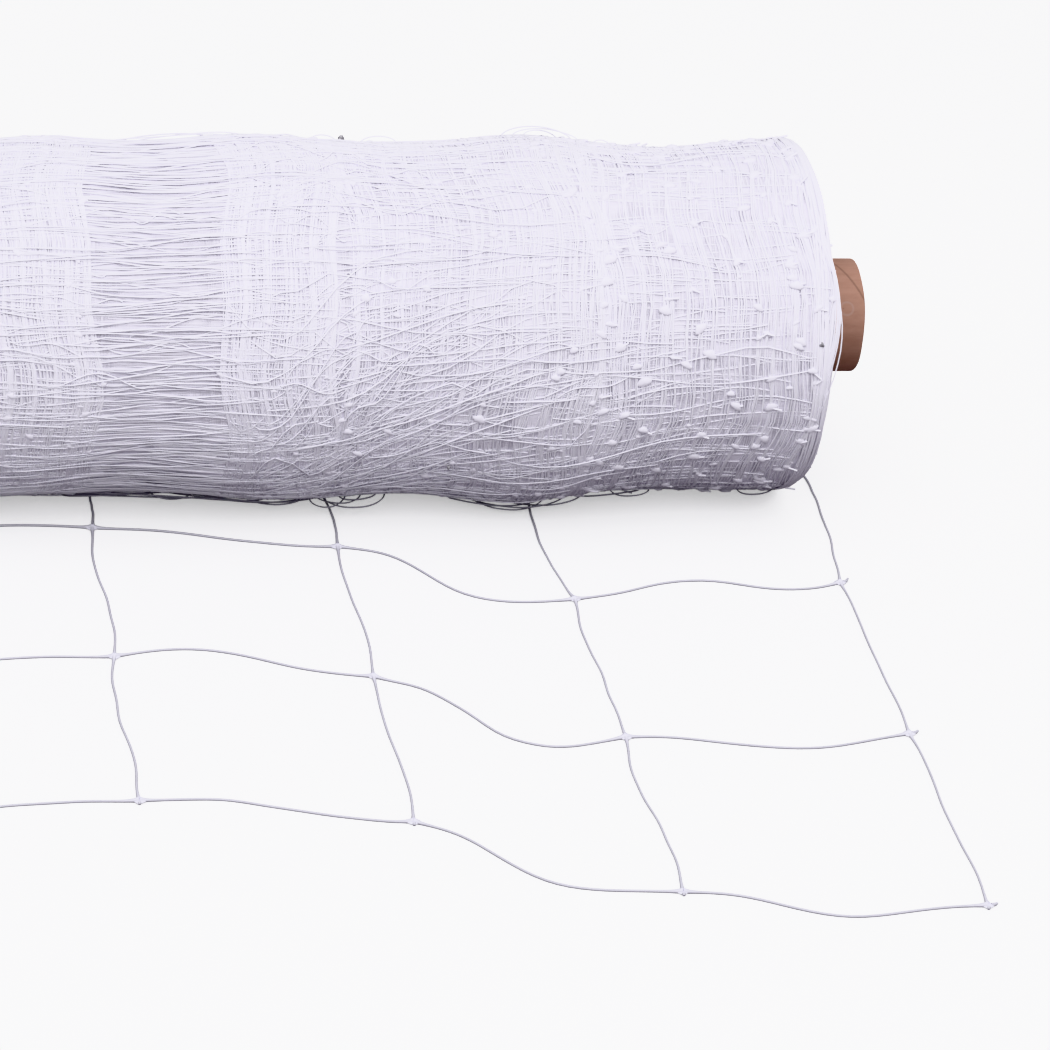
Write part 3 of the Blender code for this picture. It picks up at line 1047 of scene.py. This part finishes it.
def hanging(start, end, lift):
    swing = HANG * min(1.0, (end - start) / HANG_LENGTH)
    hidden = LOWER_EDGE - swing
    ends = hidden + dice.uniform(-2.0, 2.0), hidden + dice.uniform(-2.0, 2.0)
    return SlackStrand(start, end, *ends, lift, 0.0, dice.uniform(0.75, 1.3), dice.normal(0.0, 1.0), swing)


loops = slack_lines([hanging(*values) for values in HANGING])
# The loops' dark grey finish is painted shade.
loop_piece = strands("hanging_loops", loops, LOOP_THICK, shaded_finish, 4)

# %% [markdown]
# The arcs that stand up over the top edge are listed too. The rest are strewn over the roll by chance,
# and they stand a little higher below, where their own weight draws them off. Near the right-hand
# end the crosswise strands are short and tight, so none are strewn there.

# %% Arcs
ARCS = [
    SlackStrand(0.212, 0.262, 212, 206, 0.0045),
    SlackStrand(0.220, 0.285, 207, 211, 0.0035),
    SlackStrand(0.205, 0.274, 204, 207, 0.0030),
    SlackStrand(0.323, 0.338, 209, 206, 0.0040),
    SlackStrand(0.352, 0.374, 207, 210, 0.0045),
    SlackStrand(0.436, 0.476, 212, 205, 0.0062),
    SlackStrand(0.442, 0.482, 208, 209, 0.0052),
    SlackStrand(0.448, 0.470, 206, 212, 0.0042),
    SlackStrand(0.490, 0.500, 207, 209, 0.0025),
]
ARC_THICK = 0.62
STREWN = 300
STREWN_PLACES = (-0.59, 0.48)
STREWN_HALVES = (0.008, 0.034)
STREWN_LIFTS = (0.0002, 0.0010)
DRAWN_OFF = 0.0005
LEFTMOST = -0.603


def strewn():
    middle = dice.uniform(*STREWN_PLACES)
    half = dice.uniform(*STREWN_HALVES)
    angle = dice.uniform(0.0, 360.0)
    end_angle = angle + dice.normal(0.0, 6.0)
    below = 0.5 + 0.5 * math.cos(math.radians(angle))
    lift = dice.uniform(*STREWN_LIFTS) + DRAWN_OFF * below
    lean, wave = dice.uniform(0.6, 1.7), dice.normal(0.0, 1.5)
    start = max(middle - half, LEFTMOST)
    return SlackStrand(start, middle + half, angle, end_angle, lift, 0.0, lean, wave)


arcs = slack_lines(ARCS + [strewn() for _ in range(STREWN)])
arc_piece = strands("slack_strands", arcs, ARC_THICK, slack_finish, 4)

# %% [markdown]
# At the right-hand end some turns have slid outwards and bulge over the edge like the pages of an open
# book. One of them stands clear of the others. They lie side by side, each bulging a little less than
# the one before.

# %% Strands over the edge
BULGES = 14
BULGE_THICK = 0.55
LARGEST_BULGE = 0.0098
UPPER_ANGLE, LOWER_ANGLE = 156.0, 78.0
BULGE_LIFT = -0.0012
BULGE_START = (0.6035, 0.6025)
clear_strand = SlackStrand(*BULGE_START, 150, 72, -0.0010, 0.0108, 1.05)


def bulging(index):
    share = (index + dice.uniform(-0.3, 0.3)) / (BULGES - 1)
    upper = UPPER_ANGLE - 8.0 * share + dice.normal(0.0, 1.0)
    lower = LOWER_ANGLE + 5.0 * share + dice.normal(0.0, 1.0)
    lift = BULGE_LIFT + 0.0006 * share
    bulge = LARGEST_BULGE * (1.0 - 0.9 * share)
    return SlackStrand(*BULGE_START, upper, lower, lift, bulge, dice.uniform(0.96, 1.06))


over_edge = slack_lines([clear_strand] + [bulging(index) for index in range(BULGES)])
edge_piece = strands("edge_strands", over_edge, BULGE_THICK, slack_finish, 5)

# %% [markdown]
# ## Cut ends
#
# At both selvedges each crosswise strand was cut a few millimetres past its last knot. The cut ends
# point away from the net, along the roll, and some stand up.


# %% Selvedge stubs
STUB_THICK = 0.95
STUB_REACH = (0.003, 0.0065)
STUB_HEIGHT = 0.0004
STUB_STEPS = np.linspace(0.0, 1.0, 4)[None, :]


def selvedge(strand, side):
    """Lines of the cut ends past one outer strand's knots."""
    web, place = (values[-spots[strand][0] / WEB_LENGTH < KNOT_DEPTHS[0]] for values in spots[strand])
    reach = dice.uniform(*STUB_REACH, len(web))[:, None] * STUB_STEPS
    turned = dice.normal(0.0, 0.45, len(web))[:, None] * reach / MEAN_RADIUS
    height = STUB_HEIGHT + np.abs(dice.normal(0.0, 0.25, len(web)))[:, None] * reach
    return on_winding(place[:, None] + side * reach, web_angle(web)[:, None] + turned, height)


stubs = np.concatenate([selvedge(0, -1.0), selvedge(CELLS, 1.0)])
selvedge_piece = strands("selvedge_stubs", stubs, STUB_THICK, strand_finish, 4)

# %% [markdown]
# ## The roll's ends
#
# At each end the edge strands of all turns lie side by side, in rings from the core to the rim and on
# over its rounded shoulder. A bump texture could draw them, but the rim is seen from the side, where a
# bump shows nothing. So the rings are lines too, a little wavy. A share from 0 to 1 leads from the core
# out over the end and round the shoulder, whose shape is listed as steps back and inwards.

# %% Rings' sizes
RING_COUNT = 74
RING_POINTS = 56
FACE_SHARE = 0.74
SHOULDER = (FACE_SHARE, 0.80, 0.86, 0.93, 1.0)
SHOULDER_BACK = (0.0010, 0.0018, 0.0042, 0.0070, 0.0110)
SHOULDER_INSET = (0.0060, 0.0027, 0.0014, 0.0003, -0.0001)
CORE_GAP = 0.0012
RING_WAVE = 0.0012
SHOULDER_WAVE_SHARE = 0.25
RING_STAGGER = 0.0020
RING_WARP = 0.0008
around = np.linspace(0.0, 2.0 * math.pi, RING_POINTS)
print(round(FACE_SHARE * RING_COUNT), "of", RING_COUNT, "rings lie on the flat of each end")

# %% Rings of the ends
end_dice = np.random.default_rng(21)


def ring_line(side, index):
    """One ring of an end, by its number from the core outwards."""
    share = (index + end_dice.uniform(0.1, 0.9)) / RING_COUNT
    on_face = min(share / FACE_SHARE, 1.0)
    rim = winding_radius(np.full(RING_POINTS, side * HALF_LENGTH), around)
    inner = CORE_RADIUS + CORE_GAP
    outer = rim - np.interp(share, SHOULDER, SHOULDER_INSET)
    wave = np.sin(around * end_dice.integers(2, 6) + end_dice.uniform(0.0, 2.0 * math.pi))
    wave = RING_WAVE * wave * min(1.0, 4.0 * share) * (1.0 if on_face < 1.0 else SHOULDER_WAVE_SHARE)
    out = HALF_LENGTH - np.interp(share, SHOULDER, SHOULDER_BACK)
    out = out + end_dice.uniform(0.0, RING_STAGGER) * (on_face < 1.0)
    warp = np.sin(around * end_dice.integers(1, 5) + end_dice.uniform(0.0, 2.0 * math.pi))
    out = out + RING_WARP * warp
    return around_axis(side * out, around, inner + (outer - inner) * on_face + wave)


rings = np.stack([ring_line(side, index) for side in (-1.0, 1.0) for index in range(RING_COUNT)])
ring_piece = strands("end_rings", rings, 1.0, strand_finish, 3)

# %% [markdown]
# The cut ends of the crosswise strands stick out between the rings.

# %% Stubs of the ends
END_STUBS = 170
END_STUB_THICK = 1.1
END_STUB_LENGTHS = (0.0025, 0.0065)
RIM_MARGIN = 0.004
STUB_ROOT = 0.002


def end_stub(side):
    angle = end_dice.uniform(0.0, 2.0 * math.pi)
    rim = float(winding_radius(np.array([side * HALF_LENGTH]), np.array([angle]))[0])
    radius = CORE_RADIUS + (rim - RIM_MARGIN - CORE_RADIUS) * end_dice.uniform(0.05, 1.0)
    length = end_dice.uniform(*END_STUB_LENGTHS)
    steps = STUB_STEPS[0]
    turned = angle + end_dice.uniform(-0.9, 0.9) * length / radius * steps
    out = side * (HALF_LENGTH - STUB_ROOT + length * steps * (1.0 - 0.25 * steps))
    return around_axis(out, turned, radius + 0.3 * length * steps * end_dice.uniform(-1.0, 1.0))


end_stubs = np.stack([end_stub(side) for side in (-1.0, 1.0) for _ in range(END_STUBS)])
end_stub_piece = strands("end_stubs", end_stubs, END_STUB_THICK, strand_finish, 4)

# %% [markdown]
# ## The loose end
#
# The last three rows of cells lie drawn out on the ground. Their knots stand where the frame's solid
# has them, from the same table: for each lengthwise strand, where it leaves the roll, where its first
# knot lies, how far it is from knot to knot, how far each knot lies to the side of the last, and how
# the stretch before the first one bows. Cloth simulation of so open a net would need a rod for each
# strand. A strand on the ground only bows, so between two knots it bows once, twice and three times,
# by listed or seeded amounts.

# %% Loose knots' places
NET_ROWS = 3
NET_START = 0.029
Column = namedtuple("Column", "leaves place first step drift bow")
COLUMNS = [
    Column(-0.585, -0.572, 0.104, 0.146, -0.002, 0.003),
    Column(-0.430, -0.424, 0.128, 0.148, -0.001, -0.004),
    Column(-0.271, -0.268, 0.116, 0.150, 0.001, 0.002),
    Column(-0.116, -0.112, 0.083, 0.147, 0.002, -0.003),
    Column(0.044, 0.045, 0.071, 0.144, 0.003, 0.001),
    Column(0.195, 0.194, 0.061, 0.143, 0.003, 0.001),
    Column(0.332, 0.333, 0.087, 0.143, 0.003, 0.002),
    Column(0.453, 0.461, 0.151, 0.146, 0.003, -0.005),
    Column(0.627, 0.619, 0.137, 0.163, 0.001, 0.002),
]


def knots_below(column):
    return [
        np.array([column.place + column.drift * row, -(column.first + column.step * row)])
        for row in range(NET_ROWS)
    ]


knot_places = [knots_below(column) for column in COLUMNS]
print("the loose net has", NET_ROWS * len(COLUMNS), "knots")

# %% Loose strands' bows
Bow = namedtuple("Bow", "row cell sag sway ripple")
CROSS_BOWS = [
    Bow(0, 4, 0.0070, -0.0020, 0.0),
    Bow(0, 5, 0.0003, 0.0024, 0.0),
    Bow(0, 6, -0.0137, 0.0102, 0.0020),
    Bow(0, 7, 0.0081, 0.0049, -0.0041),
    Bow(1, 4, 0.0040, -0.0012, 0.0),
    Bow(1, 5, 0.0114, 0.0057, 0.0),
    Bow(1, 6, -0.0205, 0.0121, 0.0),
    Bow(1, 7, -0.0105, 0.0036, 0.0013),
    Bow(2, 4, 0.0035, -0.0012, 0.0),
    Bow(2, 5, 0.0042, 0.0035, 0.0),
    Bow(2, 6, -0.0166, 0.0055, 0.0026),
    Bow(2, 7, -0.0113, 0.0021, 0.0034),
]
LENGTH_BOWS = [
    Bow(0, 5, 0.0002, -0.0024, 0.0),
    Bow(1, 5, -0.0018, -0.0022, 0.0),
    Bow(0, 6, 0.0010, -0.0018, 0.0),
    Bow(1, 6, 0.0008, -0.0016, 0.0004),
    Bow(0, 7, -0.0012, -0.0012, -0.0004),
    Bow(1, 7, -0.0006, -0.0028, 0.0),
    Bow(0, 8, 0.0012, 0.0, 0.0008),
    Bow(1, 8, 0.0014, 0.0, 0.0012),
]
CROSS_RANGES = ((-0.014, 0.010), (-0.006, 0.011), (-0.003, 0.003))
LENGTH_RANGES = ((-0.0022, 0.0022), (-0.0022, 0.0022), (-0.0007, 0.0007))
cross_dice = random.Random(6)
length_dice = random.Random(9)


def bow_of(row, cell, bows, ranges, dice):
    """The listed sag, sway and ripple of a strand, or drawn ones."""
    drawn = tuple(dice.uniform(*limits) for limits in ranges)
    listed = [tuple(bow)[2:] for bow in bows if (bow.row, bow.cell) == (row, cell)]
    return listed[0] if listed else drawn


print(len(CROSS_BOWS) + len(LENGTH_BOWS), "strands have listed bows")

# %% [markdown]
# Each strand swells as it runs into a knot, over its last few millimetres. The swelling goes with the
# line as its thickness, and again as the attribute "knot", which the finish reads.


# %% A loose strand's line
LOOSE_POINTS = 41
CROWDING = 0.12
FLARE = 0.0035
FLARE_SIZE = 1.35
FINE_WAVE = 0.0018
fine_dice = np.random.default_rng(22)


def loose_line(start, end, bow):
    """Points on the ground from start to end, closer near both ends, and how far each is from them."""
    share = np.linspace(0.0, 1.0, LOOSE_POINTS)
    share = share - CROWDING * np.sin(2.0 * math.pi * share)
    run = end - start
    length = math.hypot(*run)
    off = sum(size * np.sin((bows + 1) * math.pi * share) for bows, size in enumerate(bow))
    fine = fine_dice.normal() * np.sin(5.0 * math.pi * share)
    fine = fine + 0.5 * fine_dice.normal() * np.sin(8.0 * math.pi * share)
    off = off + FINE_WAVE * length * fine
    flat = start + run * share[:, None] + np.array([-run[1], run[0]]) / length * off[:, None]
    return np.column_stack([flat, np.zeros(LOOSE_POINTS)]), share * length, (1.0 - share) * length


loose_lines, loose_swell = [], []


def add_loose(start, end, bow, from_knot=1.0):
    line, from_start, from_end = loose_line(start, end, bow)
    loose_lines.append(line)
    loose_swell.append(np.exp(-from_start / FLARE) * from_knot + np.exp(-from_end / FLARE))


print("loose strands swell over", FLARE * 1000.0, "mm")

# %% Loose strands
LOOSE_THICK = 1.1
for number, column in enumerate(COLUMNS):
    places = knot_places[number]
    add_loose(np.array([column.leaves, -NET_START]), places[0], (column.bow, 0.0, 0.0), from_knot=0.0)
    for row in range(NET_ROWS - 1):
        bow = bow_of(row, number, LENGTH_BOWS, LENGTH_RANGES, length_dice)
        add_loose(places[row], places[row + 1], bow)
for row in range(NET_ROWS):
    for cell in range(CELLS):
        bow = bow_of(row, cell, CROSS_BOWS, CROSS_RANGES, cross_dice)
        add_loose(knot_places[cell][row], knot_places[cell + 1][row], bow)
loose_lines, loose_swell = np.stack(loose_lines), np.stack(loose_swell)
loose_thick = LOOSE_THICK + FLARE_SIZE * loose_swell
loose_lines[..., 2] = loose_thick * STRAND_RADIUS
swelling = {"knot": loose_swell.clip(0.0, 1.0)}
loose_pieces = [strands("loose_strands", loose_lines, loose_thick, loose_finish, 6, swelling)]

# %% [markdown]
# Three kinds of ends are left. Under the roll the strands run on to where the last turn touches the
# ground. At the selvedges the crosswise strands end in short cut stubs, bent up a little. Below the
# last row the lengthwise strands were cut close to their knots.

# %% Ends of the loose strands
END_STEPS = np.linspace(0.0, 1.0, 12)
STUB = 0.0034
STUB_TAPER = 1.7 - 0.6 * END_STEPS
OUTERMOST = 0.604
LONG_TUCK, SHORT_TUCK = 0.030, 0.004
KNOT_EDGE = 0.0020
CUT_LENGTH = 0.0012
end_lines, end_thick = [], []


def add_end(along, across, thick, rise=0.0):
    """Note the line of one end: its places along and across, how thick it is and how far it rises."""
    along, across, thick = np.broadcast_arrays(along, across, thick)
    end_lines.append(np.stack([along, across, thick * STRAND_RADIUS * 1.05 + rise], -1))
    end_thick.append(thick)


for column in COLUMNS:
    tucked = min(max(column.leaves, -OUTERMOST), OUTERMOST)
    overhang = column.leaves - tucked
    back = LONG_TUCK if overhang else SHORT_TUCK
    along = tucked + overhang * (END_STEPS + 0.35 * np.sin(math.pi * END_STEPS))
    add_end(along, back - (NET_START + back) * END_STEPS, LOOSE_THICK)
for row in range(NET_ROWS):
    for number, side in ((0, -1.0), (CELLS, 1.0)):
        bend = length_dice.uniform(0.2, 1.1)
        x, y = knot_places[number][row]
        along, across = x + side * (KNOT_EDGE + STUB * END_STEPS), y + STUB * bend * END_STEPS ** 2
        add_end(along, across, STUB_TAPER, STRAND_RADIUS * END_STEPS)
for places in knot_places:
    x, y = places[-1]
    add_end(x, y - KNOT_EDGE - CUT_LENGTH * END_STEPS, STUB_TAPER)
end_lines, end_thick = np.stack(end_lines), np.stack(end_thick)
plain = {"knot": np.zeros_like(end_thick)}
loose_pieces.append(strands("loose_ends", end_lines, end_thick, loose_finish, 8, plain))

# %% [markdown]
# The loose knots come from the same tree as those on the roll, with more faces, because they lie alone
# on the ground and are seen well.

# %% Loose knots
LOOSE_KNOT_HEIGHT = 0.0010
knot_dice = np.random.default_rng(5)
centres = np.array([(x, y, LOOSE_KNOT_HEIGHT * 1.02) for places in knot_places for x, y in places])
count = len(centres)
loose_knot_mesh = line_mesh("loose_knots", centres, [], {
    "outward": np.tile((0.0, 0.0, 1.0), (count, 1)),
    "stretch": knot_dice.uniform(0.9, 1.12, count)[:, None] * np.array([[1.0, 1.0, 0.88]]),
    "knot": np.ones(count),
})
loose_pieces.append(run_group("loose_knots", loose_knot_mesh, knot_group, {
    "Knot size": (0.0037, 0.0032, LOOSE_KNOT_HEIGHT), "Segments": 24, "Rings": 12, "Corners": 1.25,
    "Lump": 0.0, "Twist": 0.25, "Seed": 2, "Finish": loose_finish,
}))

# %% [markdown]
# ## Cardboard core
#
# The real core is cut from a long tube by a blade, which leaves a soft, slightly ragged edge. A
# cylinder with a Bevel modifier would be too even, so the tube is lathed from a profile. One half of
# the profile is worked out, the other is its mirror, and each circle of points is pushed a little out
# of round near the ends.

# %% Core profile
CORE_WALL = 0.004
BORE_RADIUS = CORE_RADIUS - CORE_WALL
WORN = 0.0009
CORE_STEP = 0.005
corner = np.linspace(0.0, math.pi / 2.0, 7)
mouth = CORE_HALF_LENGTH - WORN
half_profile = [(mouth + WORN * math.sin(a), BORE_RADIUS + WORN - WORN * math.cos(a)) for a in corner]
half_profile += [(mouth + WORN * math.cos(a), CORE_RADIUS - WORN + WORN * math.sin(a)) for a in corner]
half_profile += [(mouth - CORE_STEP * step, CORE_RADIUS) for step in range(1, 10)]
profile = half_profile + [(-along, radius) for along, radius in reversed(half_profile)]
print("the profile has", len(profile), "points")


# %% Core tube
CORE_SPOKES = 96
WEAR_REACH = 0.006
OUT_OF_ROUND = 0.00016
RAGGED = 0.0002


def core_point(along, radius, angle):
    """A point of the tube, knocked a little out of round near its ends."""
    near_end = math.exp(-(CORE_HALF_LENGTH - abs(along)) / WEAR_REACH)
    uneven = math.sin(angle * 3.0 + 1.0) + 0.6 * math.sin(angle * 7.0 + along * 40.0)
    reach = radius - abs(OUT_OF_ROUND * near_end * uneven)
    x = along - math.copysign(RAGGED * near_end * (1.0 + math.sin(angle * 5.0)), along)
    return x, -reach * math.sin(angle), AXIS_Z - reach * math.cos(angle)


tube = bmesh.new()
circle = [2.0 * math.pi * spoke / CORE_SPOKES for spoke in range(CORE_SPOKES)]
tube_circles = [
    [tube.verts.new(core_point(along, radius, angle)) for angle in circle]
    for along, radius in profile
]
for before, after in zip(tube_circles, tube_circles[1:] + tube_circles[:1]):
    for spoke in range(CORE_SPOKES):
        beside = (spoke + 1) % CORE_SPOKES
        tube.faces.new([before[spoke], before[beside], after[beside], after[spoke]]).smooth = True
bmesh.ops.recalc_face_normals(tube, faces=tube.faces)
tube_mesh = bpy.data.meshes.new("kraft_core")
tube.to_mesh(tube_mesh)
tube.free()
tube_mesh.materials.append(card_finish)
core = bpy.data.objects.new("kraft_core", tube_mesh)
bpy.context.scene.collection.objects.link(core)
print("the core has", len(tube_mesh.polygons), "faces")

# %% [markdown]
# ## Hand over to the frame
#
# Each piece now takes the place of a plain solid: the solid is hidden but still carries the weight and
# the touch of the part, and the piece moves with the part's root body.

# %% Hand over
wound_pieces = [
    bed, *hoop_pieces, *cross_pieces, wound_knots, scraps, loop_piece, arc_piece, edge_piece,
    selvedge_piece, ring_piece, end_stub_piece,
]
for pieces, node, slot in (
    (wound_pieces, "wound_net", "net_plastic"),
    (loose_pieces, "loose_net", "net_plastic"),
    ([core], "core_tube", "cardboard"),
):
    for piece in pieces:
        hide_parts(node)
        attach(piece, "root")
    print(node, "is shown by", ", ".join(piece.name for piece in pieces))

# %% [markdown]
# ## Floor
#
# The real roll lies on a white sweep that is lit until it glows, while the underside of the roll stays
# dark. A white floor would light that underside too. So the floor is white to the eye and darker, with
# a touch of mauve, to the light that bounces off it, and it gives off a little light of its own for the
# eye only.

# %% Floor
FLOOR_HALF = 40.0
FLOOR_GLOW = 0.45
signs = ((-1.0, -1.0), (1.0, -1.0), (1.0, 1.0), (-1.0, 1.0))
floor_mesh = bpy.data.meshes.new("floor")
floor_mesh.from_pydata([(FLOOR_HALF * x, FLOOR_HALF * y, 0.0) for x, y in signs], [], [(0, 1, 2, 3)])
floor = bpy.data.objects.new("floor", floor_mesh)
bpy.context.scene.collection.objects.link(floor)


def seen_directly(tree):
    return tree.node("ShaderNodeLightPath", {}, {}, output=0)


floor_finish, tree, shader = finish("pale_floor", 0.9)
bounced, eye_white = (0.145, 0.125, 0.155, 1.0), (0.95, 0.95, 0.955, 1.0)
black, white = (0.0, 0.0, 0.0, 1.0), (1.0, 1.0, 1.0, 1.0)
tree.feed(shader["Base Color"], mix_colours(tree, seen_directly(tree), bounced, eye_white))
tree.feed(shader["Emission Color"], mix_colours(tree, seen_directly(tree), black, white))
shader["Emission Strength"].default_value = FLOOR_GLOW
floor_mesh.materials.append(floor_finish)
print("the floor is", 2.0 * FLOOR_HALF, "m wide")

# %% [markdown]
# ## Light
#
# Small lamps would draw a hard shadow under each of thousands of strands. One very large disc, high up
# and in front, gives soft shade that darkens down the roll, and a grey sky fills the rest. The sky looks
# lighter to the eye than it shines, so that it joins the floor. The neutral product view keeps the
# whites from clipping and leaves their tint alone.

# %% Light
SKY_LIGHT = 0.55
SKY_TO_EYE = 0.92
LAMP_PLACE = Vector((0.3, -1.5, 2.7))
LAMP_AIM = Vector((0.3, 0.0, 0.1))
world = bpy.data.worlds.new("studio")
world.use_nodes = True
sky = world.node_tree.nodes["Background"].inputs
sky["Color"].default_value = (0.99, 0.985, 1.0, 1.0)
tree = Tree(world.node_tree)
tree.feed(sky["Strength"], SKY_LIGHT + (SKY_TO_EYE - SKY_LIGHT) * seen_directly(tree))
bpy.context.scene.world = world

lamp = bpy.data.lights.new("overhead", "AREA")
lamp.shape = "DISK"
lamp.size = 4.5
lamp.energy = 136.0
overhead = bpy.data.objects.new("overhead", lamp)
bpy.context.scene.collection.objects.link(overhead)
overhead.location = LAMP_PLACE
overhead.rotation_euler = (LAMP_AIM - LAMP_PLACE).to_track_quat("-Z", "Y").to_euler()
bpy.context.scene.view_settings.view_transform = "Khronos PBR Neutral"
print("lamp of", lamp.size, "m and", lamp.energy, "W")
